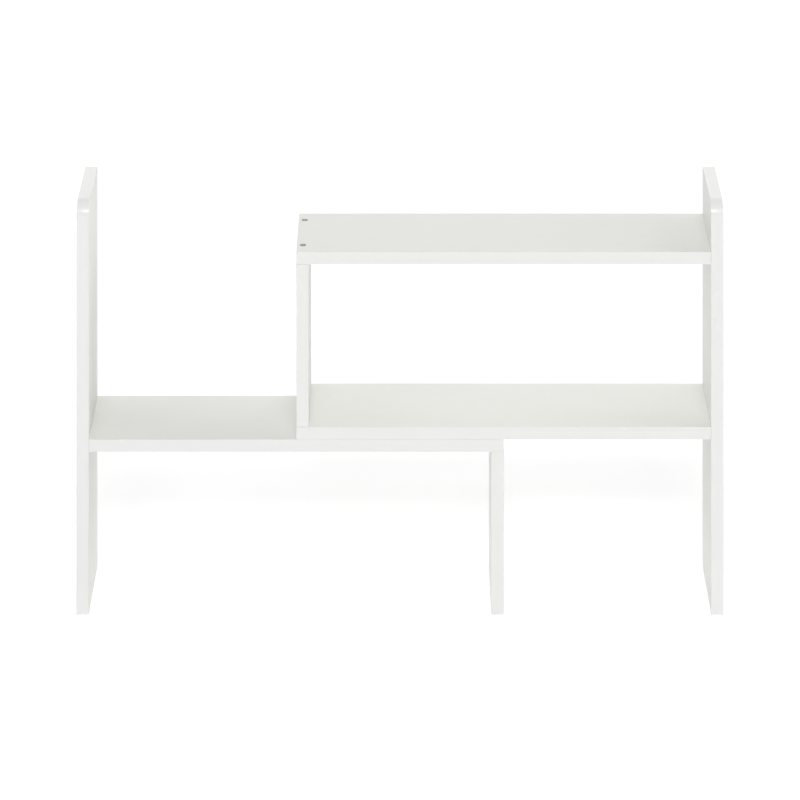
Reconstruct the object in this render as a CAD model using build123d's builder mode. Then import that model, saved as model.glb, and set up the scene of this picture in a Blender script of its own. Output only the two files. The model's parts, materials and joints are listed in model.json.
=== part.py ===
from build123d import *
import os

# An expandable desk hutch in laminated board. Millimetres, +Z up, front towards -Y, and the
# origin on the desk under the middle of the hutch's box.
#
# The left unit is a tall side panel, a shelf and a leg. The right unit is a tall side panel,
# two shelves and a divider. The right unit's lower shelf lies on the left unit's shelf and
# slides on it along X, so that the hutch grows and shrinks in width.

# Boards
board = 15.0  # thickness of every board
depth = 120.0  # width of every board, from the hutch's front to its back
side_height = 495.0
corner_radius = 18.0  # the side panels' front top corner
shelf_length = 500.0
leg_height = 196.0
divider_height = 196.0
overlap = 250.0  # how far the lower shelf lies over the left shelf at rest
band = 0.5  # thickness of the strips glued over the boards' edges

# Screws: 3.5 x 40, countersunk, cross recess
screw_length = 40.0
screw_radius = 1.75
screw_tip = 5.0
screw_pitch = 78.0  # from the front screw of a joint to its back screw
head_radius = 3.5
head_land = 0.15  # the straight rim above the head's cone
head_sink = 0.1  # how far the head lies below the board's face
recess_width = 4.0
recess_tip = 1.4
recess_wing = 0.9
recess_depth = 1.9

# Dowels: 8 x 30, one in the middle of each joint
dowel_length = 30.0
dowel_radius = 4.0
dowel_chamfer = 0.8
dowel_in_face = 9.5  # the dowel's length in the board that the screws go through

# Holes
play = 0.05  # radial room round screws and dowels
end_play = 0.5  # room past a dowel's end and a screw's tip
countersink_angle = 90.0
countersink_radius = head_radius + head_land + head_sink + play
shank_hole_radius = screw_radius + 0.2

# Where the boards meet
width = 2 * board + 2 * shelf_length - overlap
left_inner = board - width / 2
right_inner = width / 2 - board
left_shelf_end = left_inner + shelf_length
right_shelves_start = right_inner - shelf_length
lower_shelf_bottom = leg_height + board
divider_bottom = lower_shelf_bottom + board
upper_shelf_bottom = divider_bottom + divider_height


def outside_face(x, z, outwards):
    """The plane where a joint's screws go in, its X along the boards' width."""
    return Plane(origin=(x, 0, z), x_dir=(0, 1, 0), z_dir=outwards)


# Each joint: where its screws go in, the board under their heads, the board that they pull up
joints = {
    "left_panel_to_left_shelf": (
        outside_face(-width / 2, leg_height + board / 2, (-1, 0, 0)),
        "left_side_panel",
        "left_shelf",
    ),
    "left_shelf_to_centre_leg": (
        outside_face(left_shelf_end - board / 2, leg_height + board, (0, 0, 1)),
        "left_shelf",
        "centre_leg",
    ),
    "right_panel_to_lower_shelf": (
        outside_face(width / 2, lower_shelf_bottom + board / 2, (1, 0, 0)),
        "right_side_panel",
        "lower_shelf",
    ),
    "right_panel_to_upper_shelf": (
        outside_face(width / 2, upper_shelf_bottom + board / 2, (1, 0, 0)),
        "right_side_panel",
        "upper_shelf",
    ),
    "lower_shelf_to_divider": (
        outside_face(right_shelves_start + board / 2, lower_shelf_bottom, (0, 0, -1)),
        "lower_shelf",
        "divider",
    ),
    "upper_shelf_to_divider": (
        outside_face(right_shelves_start + board / 2, upper_shelf_bottom + board, (0, 0, 1)),
        "upper_shelf",
        "divider",
    ),
}


def write(piece, label):
    """Label a finished piece and write it to its own file."""
    piece.part.label = label
    export_step(piece.part, f"parts/{label}.step")


def drill(name):
    """Drill the board in hand for every joint that it is part of."""
    for outside, through_board, end_board in joints.values():
        meeting = outside.offset(-board)
        if name == through_board:
            with Locations(outside):
                with GridLocations(screw_pitch, 0, 2, 1):
                    CounterSinkHole(
                        shank_hole_radius, countersink_radius, counter_sink_angle=countersink_angle
                    )
            with Locations(meeting):
                Cylinder(
                    dowel_radius + play,
                    dowel_in_face + end_play,
                    align=(Align.CENTER, Align.CENTER, Align.MIN),
                    mode=Mode.SUBTRACT,
                )
        if name == end_board:
            with Locations(meeting):
                Hole(dowel_radius + play, depth=dowel_length - dowel_in_face + end_play)
                with GridLocations(screw_pitch, 0, 2, 1):
                    Hole(screw_radius + play, depth=screw_length - board + end_play)


def edge_band(label, face, centre, size):
    """A straight strip of edge band, drawn on a board's face and as wide as the board is thick."""
    with BuildPart() as strip:
        with BuildSketch(face):
            with Locations(centre):
                Rectangle(*size)
        extrude(amount=board)
    write(strip, label)


def shelf(name, left, bottom, open_end):
    """A shelf, banded front, back and on its open end: -1 for the left end, 1 for the right."""
    face = Plane.XY.offset(bottom)
    middle = left + shelf_length / 2
    with BuildPart() as core:
        with BuildSketch(face):
            with Locations((middle - open_end * band / 2, 0)):
                Rectangle(shelf_length - band, depth - 2 * band)
        extrude(amount=board)
        drill(name)
    write(core, name)
    for edge, side in (("front", -1), ("back", 1)):
        centre = (middle, side * (depth - band) / 2)
        edge_band(f"{name}_{edge}_band", face, centre, (shelf_length, band))
    end_centre = (middle + open_end * (shelf_length - band) / 2, 0)
    edge_band(f"{name}_end_band", face, end_centre, (band, depth - 2 * band))


def upright(name, left, bottom, height, has_foot):
    """A short upright, banded front and back, and below where it stands on the desk."""
    face = Plane.YZ.offset(left)
    foot = band if has_foot else 0
    with BuildPart() as core:
        with BuildSketch(face):
            with Locations((0, bottom + (height + foot) / 2)):
                Rectangle(depth - 2 * band, height - foot)
        extrude(amount=board)
        drill(name)
    write(core, name)
    for edge, side in (("front", -1), ("back", 1)):
        centre = (side * (depth - band) / 2, bottom + height / 2)
        edge_band(f"{name}_{edge}_band", face, centre, (band, height))
    if has_foot:
        edge_band(f"{name}_foot_band", face, (0, band / 2), (depth - 2 * band, band))


def side_outline(inset):
    """A side panel's outline, seen with its front on the left, drawn inside its finished edges."""
    with BuildSketch() as outline:
        with Locations((0, side_height / 2)):
            Rectangle(depth - 2 * inset, side_height - 2 * inset)
        front_top = outline.vertices().group_by(Axis.Y)[-1].sort_by(Axis.X)[0]
        fillet(front_top, corner_radius - inset)
    return outline.sketch


def side_panel(name, left):
    """A side panel. One band runs up its front, round the corner and along its top."""
    face = Plane.YZ.offset(left)
    with BuildPart() as core:
        with BuildSketch(face):
            add(side_outline(band))
        extrude(amount=board)
        drill(name)
    write(core, name)
    with BuildPart() as front_band:
        with BuildSketch(face):
            add(side_outline(0))
            add(side_outline(band), mode=Mode.SUBTRACT)
            with Locations(((depth - band) / 2, side_height / 2)):
                Rectangle(band, side_height, mode=Mode.SUBTRACT)
            with Locations((0, band / 2)):
                Rectangle(depth - 2 * band, band, mode=Mode.SUBTRACT)
        extrude(amount=board)
    write(front_band, f"{name}_front_band")
    edge_band(f"{name}_back_band", face, ((depth - band) / 2, side_height / 2), (band, side_height))
    edge_band(f"{name}_foot_band", face, (0, band / 2), (depth - 2 * band, band))


os.makedirs("parts", exist_ok=True)

side_panel("left_side_panel", -width / 2)
shelf("left_shelf", left_inner, leg_height, open_end=1)
upright("centre_leg", left_shelf_end - board, 0, leg_height, has_foot=True)

side_panel("right_side_panel", right_inner)
shelf("lower_shelf", right_shelves_start, lower_shelf_bottom, open_end=-1)
shelf("upper_shelf", right_shelves_start, upper_shelf_bottom, open_end=-1)
upright("divider", right_shelves_start, divider_bottom, divider_height, has_foot=False)

# One screw, its head's top face on the XY plane and its tip below
with BuildPart() as screw:
    with BuildSketch(Plane.XZ):
        with BuildLine():
            Polyline(
                (0, 0),
                (head_radius, 0),
                (head_radius, -head_land),
                (screw_radius, -head_land - (head_radius - screw_radius)),
                (screw_radius, screw_tip - screw_length),
                (0, -screw_length),
                close=True,
            )
        make_face()
    revolve(axis=Axis.Z)
    for recess_plane in (Plane.XZ, Plane.YZ):
        with BuildSketch(recess_plane):
            with BuildLine():
                Polyline(
                    (-recess_width / 2, 0),
                    (recess_width / 2, 0),
                    (recess_tip / 2, -recess_depth),
                    (-recess_tip / 2, -recess_depth),
                    close=True,
                )
            make_face()
        extrude(amount=recess_wing / 2, both=True, mode=Mode.SUBTRACT)

# One dowel, standing on the XY plane where two boards meet
with BuildPart() as dowel:
    with BuildSketch(Plane.XY.offset(dowel_in_face - dowel_length)):
        Circle(dowel_radius)
    extrude(amount=dowel_length)
    chamfer(dowel.edges().filter_by(GeomType.CIRCLE), dowel_chamfer)

for joint, (outside, through_board, end_board) in joints.items():
    with BuildPart() as screws:
        with Locations(outside.offset(-head_sink)):
            with GridLocations(screw_pitch, 0, 2, 1):
                add(screw.part)
    write(screws, f"{joint}_screws")
    with BuildPart() as joint_dowel:
        with Locations(outside.offset(-board)):
            add(dowel.part)
    write(joint_dowel, f"{joint}_dowel")
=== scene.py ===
import json
import math

import bmesh
import bpy
from mathutils import Matrix, Vector


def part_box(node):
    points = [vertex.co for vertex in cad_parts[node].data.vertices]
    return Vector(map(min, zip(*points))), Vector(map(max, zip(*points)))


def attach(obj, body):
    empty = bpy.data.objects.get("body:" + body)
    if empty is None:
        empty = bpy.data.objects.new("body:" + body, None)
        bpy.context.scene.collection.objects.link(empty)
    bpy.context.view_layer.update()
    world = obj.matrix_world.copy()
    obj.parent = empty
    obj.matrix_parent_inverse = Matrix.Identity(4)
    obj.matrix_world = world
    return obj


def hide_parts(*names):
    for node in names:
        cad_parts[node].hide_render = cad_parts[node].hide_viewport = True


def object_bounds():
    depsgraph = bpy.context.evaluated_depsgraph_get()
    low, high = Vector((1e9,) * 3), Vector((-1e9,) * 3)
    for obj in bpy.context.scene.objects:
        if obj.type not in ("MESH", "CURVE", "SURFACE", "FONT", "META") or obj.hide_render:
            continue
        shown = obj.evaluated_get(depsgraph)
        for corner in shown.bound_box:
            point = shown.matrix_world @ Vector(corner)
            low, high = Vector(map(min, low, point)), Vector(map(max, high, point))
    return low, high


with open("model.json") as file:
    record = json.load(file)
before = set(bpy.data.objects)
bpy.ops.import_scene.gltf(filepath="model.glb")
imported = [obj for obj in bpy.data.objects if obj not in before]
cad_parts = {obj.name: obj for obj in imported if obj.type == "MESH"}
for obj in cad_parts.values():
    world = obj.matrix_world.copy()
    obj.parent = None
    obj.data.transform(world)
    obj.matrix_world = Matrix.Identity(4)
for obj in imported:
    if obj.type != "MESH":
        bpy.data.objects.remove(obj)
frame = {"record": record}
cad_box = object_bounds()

# The desk hutch's looks: every board, edge band, screw and dowel is rebuilt here at the place
# and size of its CAD node, with the small shapes that the CAD leaves out. Metres throughout.

MM = 0.001
X_AXIS, Y_AXIS, Z_AXIS = range(3)

# Boards and edge bands
CORNER_RADIUS = 18 * MM
CORNER_STEPS = 48
BAND_ROUNDING = 0.35 * MM  # left by the trimmer on a band's outer edges
BAND_ROUNDING_STEPS = 4
BAND_TRIM = 0.02 * MM  # how far a band's long edges lie under the faces of its board
BAND_END_GAP = 0.1 * MM  # how far a band stops short of its ends
GLUE_LINE = 0.05 * MM  # the fine groove where a band meets its board, or a board another

# Screws
HEAD_RADIUS = 3.5 * MM
HEAD_LAND = 0.15 * MM
HEAD_SINK = 0.1 * MM
HEAD_ROUNDING = 0.06 * MM
SHANK_RADIUS = 1.25 * MM
CORE_RADIUS = 1.1 * MM
CREST_RADIUS = 1.72 * MM
SMOOTH_SHANK = 12 * MM
NECK = 0.5 * MM  # from the smooth shank down to the thinner core
SCREW_TIP = 5 * MM
THREAD_PITCH = 1.6 * MM
THREAD_HALF_WIDTH = 0.42 * MM
THREAD_ROOT_RADIUS = CORE_RADIUS - 0.15 * MM
THREAD_STEPS_PER_TURN = 20
RECESS_WIDTH = 4.0 * MM
RECESS_TIP_SHARE = 0.35
RECESS_WING = 0.9 * MM
RECESS_WING_SHARE = 0.7
RECESS_HEART_RADIUS = 0.95 * MM
RECESS_DEPTH = 1.9 * MM
ROUND_STEPS = 32

# Holes
COUNTERSINK_RADIUS = 3.8 * MM
SHANK_HOLE_RADIUS = 1.95 * MM
PILOT_RADIUS = 1.8 * MM
DOWEL_HOLE_RADIUS = 4.05 * MM
HOLE_END_PLAY = 0.5 * MM
ABOVE_FACE = 1 * MM  # how far the drill stands clear of the face it enters

# Dowels
DOWEL_RADIUS = 4 * MM
DOWEL_CHAMFER = 0.8 * MM
DOWEL_FLUTES = 18
POINTS_PER_FLUTE = 3  # one in the groove and two on the ridge
FLUTE_DEPTH = 0.35 * MM

# Meshes
SAME_POINT = 0.001 * MM
WELD = 0.002 * MM  # points nearer than this are one after a cut
SHARP_EDGE = math.radians(30)
SCREW_SHARP_EDGE = math.radians(25)
FLAT = 0.9999  # a face whose normal has more than this along an axis is a flat one
FACES_ALONG = 0.9  # a face whose normal has more than this along an axis faces that way

# Studio
SOFT_BOX_DISTANCE = 8.0
SURROUNDINGS = 0.218  # their light, while the camera sees them white
FLOOR_RADIUS = 5.0
FLOOR_GLOW = 0.154
FLOOR_LIFT = 0.15  # only to the camera
FLOOR_STEPS = 96
SOFT_BOXES = {  # azimuth from the front, elevation, side in metres, watts
    "front": (0, 38, 3.5, 138),
    "front_spot": (0, 36, 1.0, 129),
    "front_high": (0, 62, 3.5, 29),
    "front_left": (-60, 38, 3.5, 49),
    "side_left": (-90, 12, 3.5, 63),
    "side_right": (90, 12, 3.5, 149),
    "side_right_high": (90, 38, 3.5, 37),
    "back_left_high": (-120, 38, 3.5, 74),
    "back_left": (-150, 12, 3.5, 75),
    "back": (180, 12, 3.5, 70),
    "back_right_high": (120, 38, 3.5, 82),
    "back_right": (150, 38, 3.5, 61),
}

# Which way each joint's screw heads face
HEADS_FACE = {
    "left_panel_to_left_shelf": (-1, 0, 0),
    "left_shelf_to_centre_leg": (0, 0, 1),
    "right_panel_to_lower_shelf": (1, 0, 0),
    "right_panel_to_upper_shelf": (1, 0, 0),
    "lower_shelf_to_divider": (0, 0, -1),
    "upper_shelf_to_divider": (0, 0, 1),
}

scene = bpy.context.scene
body_of = {}
for body_name, members in frame["record"]["behaviour"]["bodies"].items():
    for member in members:
        body_of[member] = body_name
slot_of = {s["node"]: s["material_slot"] for s in frame["record"]["subparts"]}
board_thickness = min(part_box("upper_shelf")[1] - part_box("upper_shelf")[0])


# ---------------------------------------------------------------- camera

def view_camera():
    """A view camera: its back stands upright while it looks down, so that uprights stay upright."""
    low, high = cad_box
    stand_off = 4.141
    height = 2.089
    sideways = 0.0015
    aim_height = 0.2586
    framed_width = 0.9641
    front = low.y
    eye = Vector((sideways, front - stand_off, height))
    aim = Vector((0, front, aim_height))
    backwards = eye - aim
    camera = bpy.data.objects.new("camera", bpy.data.cameras.new("camera"))
    scene.collection.objects.link(camera)
    camera.data.sensor_width = 36
    camera.data.lens = camera.data.sensor_width * backwards.length / framed_width
    camera.data.clip_end = 60
    backwards.normalize()
    stand = bpy.data.objects.new("camera_stand", None)
    scene.collection.objects.link(stand)
    camera.parent = stand
    columns = (Vector((1, 0, 0)), Vector((0, 0, 1)), backwards)
    upright_back = Matrix(columns).transposed().to_4x4()
    camera.matrix_parent_inverse = Matrix.Translation(eye) @ upright_back
    scene.camera = camera


# ---------------------------------------------------------------- materials

def new_group(name, inputs, outputs):
    """An empty shader node group with float inputs, and outputs given as name and socket type."""
    group = bpy.data.node_groups.new(name, "ShaderNodeTree")
    for socket_name, value in inputs.items():
        socket = group.interface.new_socket(socket_name, in_out="INPUT", socket_type="NodeSocketFloat")
        socket.default_value = value
    for socket_name, socket_type in outputs.items():
        group.interface.new_socket(socket_name, in_out="OUTPUT", socket_type=socket_type)
    return group


def add_node(tree, kind, inputs=None, **settings):
    """A node of a tree, its input sockets linked or set from the inputs dictionary."""
    node = tree.nodes.new(kind)
    for key, value in settings.items():
        setattr(node, key, value)
    for key, value in (inputs or {}).items():
        if isinstance(value, bpy.types.NodeSocket):
            tree.links.new(value, node.inputs[key])
        else:
            node.inputs[key].default_value = value
    return node


def pressed_texture_group():
    """The fine pebble that a press plate leaves on melamine, and the gloss that varies with it."""
    group = new_group(
        "pressed_texture",
        {"Pebbles per metre": 2500, "Relief": 0.1, "Gloss spread": 0.06, "Roughness": 0.4},
        {"Roughness": "NodeSocketFloat", "Normal": "NodeSocketVector"},
    )
    given = group.nodes.new("NodeGroupInput")
    place = add_node(group, "ShaderNodeTexCoord").outputs["Object"]
    pebbles = add_node(
        group,
        "ShaderNodeTexNoise",
        {
            "Vector": place,
            "Scale": given.outputs["Pebbles per metre"],
            "Detail": 2.0,
            "Roughness": 0.45,
        },
    )
    clouds = add_node(group, "ShaderNodeTexNoise", {"Vector": place, "Scale": 14.0, "Detail": 3.0})
    offset = add_node(
        group, "ShaderNodeMath", {0: clouds.outputs["Fac"], 1: 0.5}, operation="SUBTRACT"
    )
    spread = add_node(
        group,
        "ShaderNodeMath",
        {0: offset.outputs[0], 1: given.outputs["Gloss spread"], 2: given.outputs["Roughness"]},
        operation="MULTIPLY_ADD",
    )
    bump = add_node(
        group,
        "ShaderNodeBump",
        {"Strength": given.outputs["Relief"], "Distance": 0.05 * MM, "Height": pebbles.outputs["Fac"]},
    )
    add_node(
        group,
        "NodeGroupOutput",
        {"Roughness": spread.outputs[0], "Normal": bump.outputs["Normal"]},
    )
    return group


def wood_fibre_group():
    """Short fibres and chips: a mask that mixes two wood colours, and the relief that goes with it."""
    group = new_group(
        "wood_fibre",
        {"Chips per metre": 700, "Fineness": 0.6, "Relief": 0.5},
        {"Mask": "NodeSocketFloat", "Normal": "NodeSocketVector"},
    )
    given = group.nodes.new("NodeGroupInput")
    place = add_node(group, "ShaderNodeTexCoord").outputs["Object"]
    grain = add_node(
        group,
        "ShaderNodeTexNoise",
        {
            "Vector": place,
            "Scale": given.outputs["Chips per metre"],
            "Detail": 6.0,
            "Roughness": given.outputs["Fineness"],
            "Distortion": 0.6,
        },
    )
    chips = add_node(
        group, "ShaderNodeTexVoronoi", {"Vector": place, "Scale": given.outputs["Chips per metre"]}
    )
    both = add_node(
        group,
        "ShaderNodeMath",
        {0: grain.outputs["Fac"], 1: chips.outputs["Distance"]},
        operation="MULTIPLY",
    )
    bump = add_node(
        group,
        "ShaderNodeBump",
        {"Strength": given.outputs["Relief"], "Distance": 0.2 * MM, "Height": both.outputs[0]},
    )
    add_node(group, "NodeGroupOutput", {"Mask": both.outputs[0], "Normal": bump.outputs["Normal"]})
    return group


def new_material(name):
    """A material with its Principled shader and its tree."""
    material = bpy.data.materials.new(name)
    material.use_nodes = True
    return material, material.node_tree, material.node_tree.nodes["Principled BSDF"]


def use_group(tree, group, values):
    """A shader node group placed in a material, with the material's own values."""
    return add_node(tree, "ShaderNodeGroup", values, node_tree=group)


def tinted(tree, fac, colours):
    """A colour ramp over fac: a list of position and colour pairs."""
    ramp = add_node(tree, "ShaderNodeValToRGB", {"Fac": fac})
    stops = ramp.color_ramp.elements
    while len(stops) < len(colours):
        stops.new(0.5)
    for stop, (position, colour) in zip(stops, colours):
        stop.position = position
        stop.color = (*colour, 1)
    return ramp.outputs["Color"]


def finish(tree, shader, colour, texture):
    """Link a shader to its colour and to a pressed texture's gloss and relief."""
    tree.links.new(colour, shader.inputs["Base Color"])
    tree.links.new(texture.outputs["Roughness"], shader.inputs["Roughness"])
    tree.links.new(texture.outputs["Normal"], shader.inputs["Normal"])


def white_melamine(pressed_texture):
    """The boards' faces: warm white melamine paper with a satin press."""
    material, tree, shader = new_material("white_melamine")
    texture = use_group(
        tree,
        pressed_texture,
        {"Pebbles per metre": 2200, "Relief": 0.12, "Gloss spread": 0.08, "Roughness": 0.42},
    )
    place = add_node(tree, "ShaderNodeTexCoord").outputs["Object"]
    paper = add_node(tree, "ShaderNodeTexNoise", {"Vector": place, "Scale": 60.0, "Detail": 4.0})
    colour = tinted(
        tree,
        paper.outputs["Fac"],
        [(0.3, (0.838, 0.838, 0.803)), (0.7, (0.846, 0.846, 0.812))],
    )
    finish(tree, shader, colour, texture)
    shader.inputs["IOR"].default_value = 1.5
    return material


def white_edging(pressed_texture):
    """The edge bands: a smoother, more neutral white than the boards' faces."""
    material, tree, shader = new_material("white_edging")
    texture = use_group(
        tree,
        pressed_texture,
        {"Pebbles per metre": 1500, "Relief": 0.02, "Gloss spread": 0.02, "Roughness": 0.27},
    )
    place = add_node(tree, "ShaderNodeTexCoord").outputs["Object"]
    streaks = add_node(tree, "ShaderNodeTexNoise", {"Vector": place, "Scale": 25.0, "Detail": 2.0})
    colour = tinted(
        tree,
        streaks.outputs["Fac"],
        [(0.3, (0.876, 0.876, 0.858)), (0.7, (0.884, 0.884, 0.868))],
    )
    finish(tree, shader, colour, texture)
    shader.inputs["IOR"].default_value = 1.5
    shader.inputs["Specular IOR Level"].default_value = 0.38
    return material


def raw_chipboard(wood_fibre):
    """The boards' cores, where they are cut or drilled."""
    material, tree, shader = new_material("raw_chipboard")
    fibre = use_group(tree, wood_fibre, {"Chips per metre": 650, "Relief": 0.8})
    colour = tinted(
        tree,
        fibre.outputs["Mask"],
        [(0.05, (0.20, 0.13, 0.07)), (0.25, (0.42, 0.30, 0.18)), (0.5, (0.58, 0.45, 0.29))],
    )
    tree.links.new(colour, shader.inputs["Base Color"])
    tree.links.new(fibre.outputs["Normal"], shader.inputs["Normal"])
    shader.inputs["Roughness"].default_value = 0.85
    return material


def beech(wood_fibre):
    """The dowels' wood."""
    material, tree, shader = new_material("beech")
    fibre = use_group(tree, wood_fibre, {"Chips per metre": 1600, "Relief": 0.25})
    colour = tinted(
        tree,
        fibre.outputs["Mask"],
        [(0.05, (0.45, 0.28, 0.14)), (0.3, (0.60, 0.42, 0.25)), (0.6, (0.70, 0.52, 0.34))],
    )
    tree.links.new(colour, shader.inputs["Base Color"])
    tree.links.new(fibre.outputs["Normal"], shader.inputs["Normal"])
    shader.inputs["Roughness"].default_value = 0.6
    return material


def zinc(pressed_texture):
    """The screws: zinc plate over steel, a little cloudy."""
    material, tree, shader = new_material("zinc_plate")
    texture = use_group(
        tree,
        pressed_texture,
        {"Pebbles per metre": 4000, "Relief": 0.15, "Gloss spread": 0.12, "Roughness": 0.34},
    )
    place = add_node(tree, "ShaderNodeTexCoord").outputs["Object"]
    bloom = add_node(tree, "ShaderNodeTexNoise", {"Vector": place, "Scale": 900.0, "Detail": 4.0})
    colour = tinted(
        tree,
        bloom.outputs["Fac"],
        [(0.3, (0.185, 0.185, 0.185)), (0.7, (0.275, 0.275, 0.27))],
    )
    finish(tree, shader, colour, texture)
    shader.inputs["Metallic"].default_value = 1
    return material


# ---------------------------------------------------------------- mesh tools

def thinnest(low, high):
    """The axis along which a box is thinnest."""
    return min((X_AXIS, Y_AXIS, Z_AXIS), key=lambda axis: high[axis] - low[axis])


def cuboid(low, high):
    """A solid block between two corners."""
    bm = bmesh.new()
    bmesh.ops.create_cube(bm, size=1)
    bmesh.ops.scale(bm, vec=high - low, verts=bm.verts)
    bmesh.ops.translate(bm, vec=(low + high) / 2, verts=bm.verts)
    return bm


def bevel_edges(bm, edges, size, steps):
    """Bevel edges: one step makes a chamfer, and more make a round."""
    bmesh.ops.bevel(
        bm,
        geom=edges,
        offset=size,
        segments=steps,
        profile=0.5,
        affect="EDGES",
        material=-1,
    )


def sharp_edges(bm):
    """The edges where a solid turns sharply."""
    return [e for e in bm.edges if e.is_manifold and e.calc_face_angle() > SHARP_EDGE]


def turned(profile):
    """A solid turned about Z. The profile goes from the axis out and back to the axis."""
    bm = bmesh.new()
    verts = [bm.verts.new((radius, 0, z)) for radius, z in profile]
    edges = [bm.edges.new(pair) for pair in zip(verts, verts[1:])]
    bmesh.ops.spin(
        bm,
        geom=verts + edges,
        cent=(0, 0, 0),
        axis=(0, 0, 1),
        angle=math.tau,
        steps=ROUND_STEPS,
        use_merge=True,
    )
    bmesh.ops.remove_doubles(bm, verts=bm.verts, dist=SAME_POINT)
    bmesh.ops.recalc_face_normals(bm, faces=bm.faces)
    return bm


def to_object(bm, name, materials=()):
    """The finished bmesh as a scene object at the origin."""
    mesh = bpy.data.meshes.new(name)
    bm.to_mesh(mesh)
    bm.free()
    for material in materials:
        mesh.materials.append(material)
    thing = bpy.data.objects.new(name, mesh)
    scene.collection.objects.link(thing)
    return thing


def boolean(thing, tool, operation):
    """Cut the tool out of the thing, or join it on. The tool is used up."""
    step = thing.modifiers.new("step", "BOOLEAN")
    step.operation = operation
    step.object = tool
    step.solver = "EXACT"
    bpy.context.view_layer.update()
    shaped = thing.evaluated_get(bpy.context.evaluated_depsgraph_get())
    mesh = bpy.data.meshes.new_from_object(shaped)
    bm = bmesh.new()
    bm.from_mesh(mesh)
    bmesh.ops.remove_doubles(bm, verts=bm.verts, dist=WELD)
    bmesh.ops.dissolve_degenerate(bm, edges=bm.edges, dist=WELD)
    bm.to_mesh(mesh)
    bm.free()
    thing.modifiers.clear()
    thing.data = mesh
    bpy.data.objects.remove(tool)


def shade(bm):
    """Flat faces stay flat, and rounded ones are smooth."""
    for face in bm.faces:
        face.smooth = max(abs(part) for part in face.normal) < FLAT


def settle(thing, node):
    """A finished piece stands for its node, whose own mesh it hides, and rides on the node's body."""
    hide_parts(node)
    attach(thing, body_of[node])


# ---------------------------------------------------------------- joints

def joint_place(joint):
    """A joint's matrix: its origin on the face that the screws enter, Z out, X along the depth."""
    low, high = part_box(f"{joint}_screws")
    out = Vector(HEADS_FACE[joint])
    reach = abs((high - low).dot(out)) / 2 + HEAD_SINK
    along = Vector((0, 1, 0))
    turn = Matrix((along, out.cross(along), out)).transposed().to_4x4()
    return Matrix.Translation((low + high) / 2 + out * reach) @ turn


def screw_spots(joint):
    """Where a joint's two screws stand along its own X."""
    low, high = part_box(f"{joint}_screws")
    half_pitch = (high.y - low.y) / 2 - HEAD_RADIUS
    return (-half_pitch, half_pitch)


def screw_length(joint):
    """A joint's screws from head to tip."""
    low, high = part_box(f"{joint}_screws")
    return abs((high - low).dot(Vector(HEADS_FACE[joint])))


def dowel_ends(joint):
    """How far a joint's dowel reaches along the joint's Z: its inner end and its outer end."""
    back = joint_place(joint).inverted()
    low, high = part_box(f"{joint}_dowel")
    ends = sorted(((back @ low).z, (back @ high).z))
    return ends[0], ends[1]


def drill_tool(joint):
    """Everything that is drilled at a joint: two countersunk screw holes and the dowel's hole."""
    bm = bmesh.new()
    cone_depth = COUNTERSINK_RADIUS - SHANK_HOLE_RADIUS
    hole_end = -(screw_length(joint) + HEAD_SINK + HOLE_END_PLAY)
    screw_profile = [
        (0, ABOVE_FACE),
        (COUNTERSINK_RADIUS, ABOVE_FACE),
        (COUNTERSINK_RADIUS, 0),
        (SHANK_HOLE_RADIUS, -cone_depth),
        (SHANK_HOLE_RADIUS, -board_thickness),
        (PILOT_RADIUS, -board_thickness),
        (PILOT_RADIUS, hole_end),
        (0, hole_end),
    ]
    inner, outer = dowel_ends(joint)
    dowel_profile = [
        (0, outer + HOLE_END_PLAY),
        (DOWEL_HOLE_RADIUS, outer + HOLE_END_PLAY),
        (DOWEL_HOLE_RADIUS, inner - HOLE_END_PLAY),
        (0, inner - HOLE_END_PLAY),
    ]
    cuts = [(screw_profile, spot) for spot in screw_spots(joint)] + [(dowel_profile, 0)]
    for profile, spot in cuts:
        cut = turned(profile)
        bmesh.ops.translate(cut, vec=(spot, 0, 0), verts=cut.verts)
        part = bpy.data.meshes.new("cut")
        cut.to_mesh(part)
        cut.free()
        bm.from_mesh(part)
        bpy.data.meshes.remove(part)
    bm.transform(joint_place(joint))
    for face in bm.faces:
        face.material_index = 1
    return to_object(bm, f"{joint}_drill", [melamine, chipboard])


def boxes_meet(first, second):
    """Whether two boxes, each a lowest and a highest corner, overlap."""
    return all(
        first[0][axis] < second[1][axis] and second[0][axis] < first[1][axis]
        for axis in (X_AXIS, Y_AXIS, Z_AXIS)
    )


# ---------------------------------------------------------------- pieces

def make_board(node):
    """A board: melamine on its two faces, raw chipboard at its edges, drilled for its fasteners."""
    low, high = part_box(node)
    thin_axis = thinnest(low, high)
    bm = cuboid(low, high)
    if node.endswith("side_panel"):
        front_top = [
            edge
            for edge in bm.edges
            if all(v.co.y < 0 and v.co.z > (low.z + high.z) / 2 for v in edge.verts)
        ]
        band = low.y - cad_box[0].y
        bevel_edges(bm, front_top, CORNER_RADIUS - band, CORNER_STEPS)
    bevel_edges(bm, sharp_edges(bm), GLUE_LINE, 1)
    for face in bm.faces:
        face.material_index = 0 if abs(face.normal[thin_axis]) > FACES_ALONG else 1
    shade(bm)
    board = to_object(bm, f"{node}_faced", [melamine, chipboard])
    for joint in HEADS_FACE:
        if boxes_meet(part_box(node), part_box(f"{joint}_screws")):
            boolean(board, drill_tool(joint), "DIFFERENCE")
    settle(board, node)


def trim_band(bm, outer_faces):
    """Round a band's edges where its outer face ends."""
    outer = set(outer_faces)
    rim = [e for e in bm.edges if len(outer.intersection(e.link_faces)) == 1]
    bevel_edges(bm, rim, BAND_ROUNDING, BAND_ROUNDING_STEPS)
    shade(bm)


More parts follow.
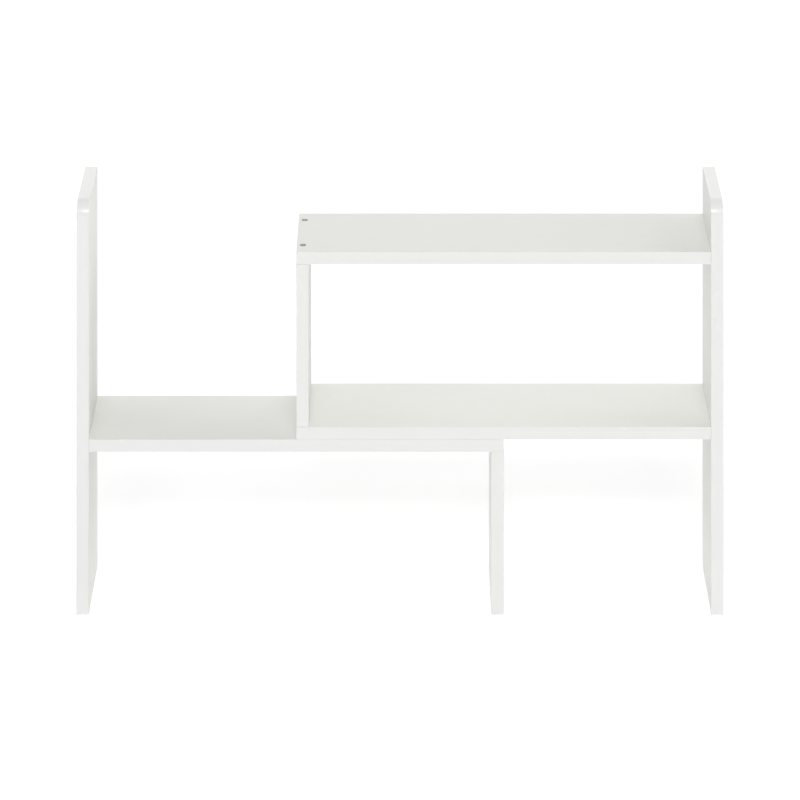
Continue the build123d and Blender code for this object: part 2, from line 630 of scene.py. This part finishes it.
def make_band(node):
    """A straight edge band, its outer edges rounded by the trimmer."""
    low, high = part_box(node)
    thin_axis = thinnest(low, high)
    board_low, board_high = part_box(node.removesuffix("_band").rpartition("_")[0])
    outwards = 1 if (low + high)[thin_axis] > (board_low + board_high)[thin_axis] else -1
    inset = Vector((BAND_END_GAP, BAND_END_GAP, BAND_END_GAP))
    inset[thin_axis] = 0
    inset[thinnest(board_low, board_high)] = BAND_TRIM
    bm = cuboid(low + inset, high - inset)
    trim_band(bm, [f for f in bm.faces if f.normal[thin_axis] * outwards > FACES_ALONG])
    band = to_object(bm, f"{node}_trimmed", [edging])
    settle(band, node)


def make_wrapped_band(node):
    """A side panel's front band: up the front, round the corner and back along the top."""
    low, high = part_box(node)
    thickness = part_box(node.replace("_front_band", ""))[0].y - low.y
    low.x += BAND_TRIM
    high.x -= BAND_TRIM
    bm = bmesh.new()
    foot = bm.verts.new((low.x, low.y, low.z))
    line_end = bm.verts.new((low.x, low.y, high.z - CORNER_RADIUS))
    bm.edges.new((foot, line_end))
    spun = bmesh.ops.spin(
        bm,
        geom=[line_end],
        cent=(low.x, low.y + CORNER_RADIUS, high.z - CORNER_RADIUS),
        axis=(1, 0, 0),
        angle=-math.pi / 2,
        steps=CORNER_STEPS,
    )
    arc_end = [item for item in spun["geom_last"] if isinstance(item, bmesh.types.BMVert)][0]
    top_end = bm.verts.new((low.x, high.y, high.z))
    bm.edges.new((arc_end, top_end))
    wide = bmesh.ops.extrude_edge_only(bm, edges=bm.edges[:])
    moved = [item for item in wide["geom"] if isinstance(item, bmesh.types.BMVert)]
    bmesh.ops.translate(bm, vec=(high.x - low.x, 0, 0), verts=moved)
    bmesh.ops.remove_doubles(bm, verts=bm.verts, dist=SAME_POINT)
    bmesh.ops.recalc_face_normals(bm, faces=bm.faces)
    if max(bm.faces, key=lambda face: face.calc_center_median().z).normal.z < 0:
        bmesh.ops.reverse_faces(bm, faces=bm.faces)
    outer = bm.faces[:]
    bmesh.ops.solidify(bm, geom=outer, thickness=thickness)
    trim_band(bm, outer)
    band = to_object(bm, f"{node}_trimmed", [edging])
    settle(band, node)


def thread_ridge(length):
    """The thread: a wedge wound up the screw, fading into the shank and into the tip."""
    bm = bmesh.new()
    start = -length + THREAD_PITCH / 2
    corners = [
        bm.verts.new((THREAD_ROOT_RADIUS, 0, start - THREAD_HALF_WIDTH)),
        bm.verts.new((CREST_RADIUS, 0, start)),
        bm.verts.new((THREAD_ROOT_RADIUS, 0, start + THREAD_HALF_WIDTH)),
    ]
    section = bm.faces.new(corners)
    turns = (length - SMOOTH_SHANK - THREAD_PITCH) / THREAD_PITCH
    steps = int(turns * THREAD_STEPS_PER_TURN)
    bmesh.ops.spin(
        bm,
        geom=[section, *section.edges, *section.verts],
        cent=(0, 0, 0),
        axis=(0, 0, 1),
        dvec=(0, 0, THREAD_PITCH / THREAD_STEPS_PER_TURN),
        angle=math.tau * steps / THREAD_STEPS_PER_TURN,
        steps=steps,
    )
    top = -SMOOTH_SHANK
    for vert in bm.verts:
        radius = math.hypot(vert.co.x, vert.co.y)
        into_tip = min(1, (vert.co.z + length) / SCREW_TIP)
        into_shank = min(1, max(0, (top - vert.co.z) / (2 * THREAD_PITCH)))
        shrink = into_tip
        if radius > CORE_RADIUS:
            crest = CORE_RADIUS + (CREST_RADIUS - CORE_RADIUS) * into_shank
            shrink *= crest / CREST_RADIUS
        vert.co.x *= shrink
        vert.co.y *= shrink
    bmesh.ops.recalc_face_normals(bm, faces=bm.faces)
    return bm


def make_screw(length):
    """One screw as a mesh, its head's top on the XY plane: turned, threaded and recessed."""
    cone_end = -HEAD_LAND - (HEAD_RADIUS - SHANK_RADIUS)
    body = turned(
        [
            (0, 0),
            (HEAD_RADIUS - HEAD_ROUNDING, 0),
            (HEAD_RADIUS, -HEAD_ROUNDING),
            (HEAD_RADIUS, -HEAD_LAND),
            (SHANK_RADIUS, cone_end),
            (SHANK_RADIUS, -SMOOTH_SHANK),
            (CORE_RADIUS, -SMOOTH_SHANK - NECK),
            (CORE_RADIUS, SCREW_TIP - length),
            (0, -length),
        ]
    )
    screw = to_object(body, "screw_blank", [zinc_plate])
    boolean(screw, to_object(thread_ridge(length), "thread"), "UNION")
    for quarter_turn in (0, math.pi / 2):
        wing = bmesh.new()
        bmesh.ops.create_cube(wing, size=1)
        bmesh.ops.scale(wing, vec=(RECESS_WIDTH, RECESS_WING, 2 * RECESS_DEPTH), verts=wing.verts)
        bottom = [v for v in wing.verts if v.co.z < 0]
        bmesh.ops.scale(wing, vec=(RECESS_TIP_SHARE, RECESS_WING_SHARE, 1), verts=bottom)
        # The block reaches as far above the head as below it, so its width at the head's top
        # is the mean of its two ends.
        widen = 2 / (1 + RECESS_TIP_SHARE)
        bmesh.ops.scale(wing, vec=(widen, 1, 1), verts=wing.verts)
        bmesh.ops.rotate(
            wing, cent=(0, 0, 0), matrix=Matrix.Rotation(quarter_turn, 3, "Z"), verts=wing.verts
        )
        boolean(screw, to_object(wing, "recess_wing"), "DIFFERENCE")
    heart = turned(
        [
            (0, ABOVE_FACE),
            (RECESS_HEART_RADIUS, ABOVE_FACE),
            (RECESS_HEART_RADIUS, 0),
            (RECESS_HEART_RADIUS / 2, -RECESS_DEPTH),
            (0, -RECESS_DEPTH - RECESS_HEART_RADIUS / 4),
        ]
    )
    boolean(screw, to_object(heart, "recess_heart"), "DIFFERENCE")
    mesh = screw.data
    bpy.data.objects.remove(screw)
    return mesh


def place_copies(mesh, name, places, materials):
    """Copies of a mesh at each place, as one object."""
    bm = bmesh.new()
    for place in places:
        copy = mesh.copy()
        copy.transform(place)
        bm.from_mesh(copy)
        bpy.data.meshes.remove(copy)
    thing = to_object(bm, name, materials)
    thing.data.polygons.foreach_set("use_smooth", [True] * len(thing.data.polygons))
    thing.data.set_sharp_from_angle(angle=SCREW_SHARP_EDGE)
    return thing


def make_screws(joint, screw):
    """A joint's two screws, their heads sunk a little below the board's face."""
    node = f"{joint}_screws"
    sunk = Matrix.Translation((0, 0, -HEAD_SINK))
    places = [
        joint_place(joint) @ Matrix.Translation((spot, 0, 0)) @ sunk for spot in screw_spots(joint)
    ]
    settle(place_copies(screw, f"{node}_threaded", places, [zinc_plate]), node)


def make_dowel(joint):
    """A fluted dowel with chamfered ends."""
    node = f"{joint}_dowel"
    inner, outer = dowel_ends(joint)
    length = outer - inner
    bm = bmesh.new()
    bmesh.ops.create_cone(
        bm,
        cap_ends=True,
        segments=POINTS_PER_FLUTE * DOWEL_FLUTES,
        radius1=DOWEL_RADIUS,
        radius2=DOWEL_RADIUS,
        depth=length - 2 * DOWEL_CHAMFER,
    )
    step = math.tau / (POINTS_PER_FLUTE * DOWEL_FLUTES)
    grooves = [
        v for v in bm.verts if round(math.atan2(v.co.y, v.co.x) / step) % POINTS_PER_FLUTE == 0
    ]
    depth_share = 1 - FLUTE_DEPTH / DOWEL_RADIUS
    bmesh.ops.scale(bm, vec=(depth_share, depth_share, 1), verts=grooves)
    caps = [face for face in bm.faces if abs(face.normal.z) > FACES_ALONG]
    ends = bmesh.ops.extrude_discrete_faces(bm, faces=caps)["faces"]
    end_share = 1 - DOWEL_CHAMFER / DOWEL_RADIUS
    for end in ends:
        lift = math.copysign(DOWEL_CHAMFER, end.calc_center_median().z)
        bmesh.ops.scale(bm, vec=(end_share, end_share, 1), verts=end.verts)
        bmesh.ops.translate(bm, vec=(0, 0, lift), verts=end.verts)
    bmesh.ops.recalc_face_normals(bm, faces=bm.faces)
    bm.transform(joint_place(joint) @ Matrix.Translation((0, 0, (inner + outer) / 2)))
    settle(to_object(bm, f"{node}_fluted", [beech_wood]), node)


# ---------------------------------------------------------------- studio

def soft_box(name, azimuth, elevation, size, power):
    """A square soft light on a dome round the hutch, which faces the hutch's middle."""
    lamp = bpy.data.lights.new(name, "AREA")
    lamp.shape = "SQUARE"
    lamp.size = size
    lamp.energy = power
    light = bpy.data.objects.new(name, lamp)
    scene.collection.objects.link(light)
    azimuth, elevation = math.radians(azimuth), math.radians(elevation)
    out = Vector(
        (
            math.sin(azimuth) * math.cos(elevation),
            -math.cos(azimuth) * math.cos(elevation),
            math.sin(elevation),
        )
    )
    middle = (cad_box[0] + cad_box[1]) / 2
    turn = (-out).to_track_quat("-Z", "Y").to_matrix().to_4x4()
    light.matrix_world = Matrix.Translation(middle + out * SOFT_BOX_DISTANCE) @ turn


def white_sweep():
    """The floor's white, which glows a little, and more so to the camera, so that it stays white."""
    material, tree, shader = new_material("white_sweep")
    shader.inputs["Base Color"].default_value = (0.9, 0.9, 0.9, 1)
    shader.inputs["Roughness"].default_value = 0.9
    shader.inputs["Specular IOR Level"].default_value = 0.0
    shader.inputs["Emission Color"].default_value = (1, 1, 1, 1)
    to_camera = add_node(tree, "ShaderNodeLightPath").outputs["Is Camera Ray"]
    glow = add_node(
        tree, "ShaderNodeMath", {0: to_camera, 1: FLOOR_LIFT, 2: FLOOR_GLOW}, operation="MULTIPLY_ADD"
    )
    tree.links.new(glow.outputs[0], shader.inputs["Emission Strength"])
    return material


def studio():
    """A white floor, surroundings that the camera sees white, and soft boxes all round."""
    bm = bmesh.new()
    bmesh.ops.create_circle(bm, cap_ends=True, segments=FLOOR_STEPS, radius=FLOOR_RADIUS)
    to_object(bm, "studio_floor", [white_sweep()])
    surroundings = bpy.data.worlds.new("surroundings")
    scene.world = surroundings
    surroundings.use_nodes = True
    background = surroundings.node_tree.nodes["Background"]
    background.inputs["Color"].default_value = (1, 1, 1, 1)
    to_camera = add_node(surroundings.node_tree, "ShaderNodeLightPath").outputs["Is Camera Ray"]
    strength = add_node(
        surroundings.node_tree,
        "ShaderNodeMath",
        {0: to_camera, 1: 1 - SURROUNDINGS, 2: SURROUNDINGS},
        operation="MULTIPLY_ADD",
    )
    surroundings.node_tree.links.new(strength.outputs[0], background.inputs["Strength"])
    for name, light in SOFT_BOXES.items():
        soft_box(name, *light)


view_camera()
pressed = pressed_texture_group()
fibre = wood_fibre_group()
melamine = white_melamine(pressed)
edging = white_edging(pressed)
chipboard = raw_chipboard(fibre)
beech_wood = beech(fibre)
zinc_plate = zinc(pressed)

for node, slot in slot_of.items():
    if slot == "white_laminated_board":
        make_board(node)
    elif slot == "white_edge_band" and node.endswith("side_panel_front_band"):
        make_wrapped_band(node)
    elif slot == "white_edge_band":
        make_band(node)
one_screw = make_screw(screw_length("upper_shelf_to_divider"))
for joint in HEADS_FACE:
    make_screws(joint, one_screw)
    make_dowel(joint)

studio()
scene.view_settings.view_transform = "Standard"
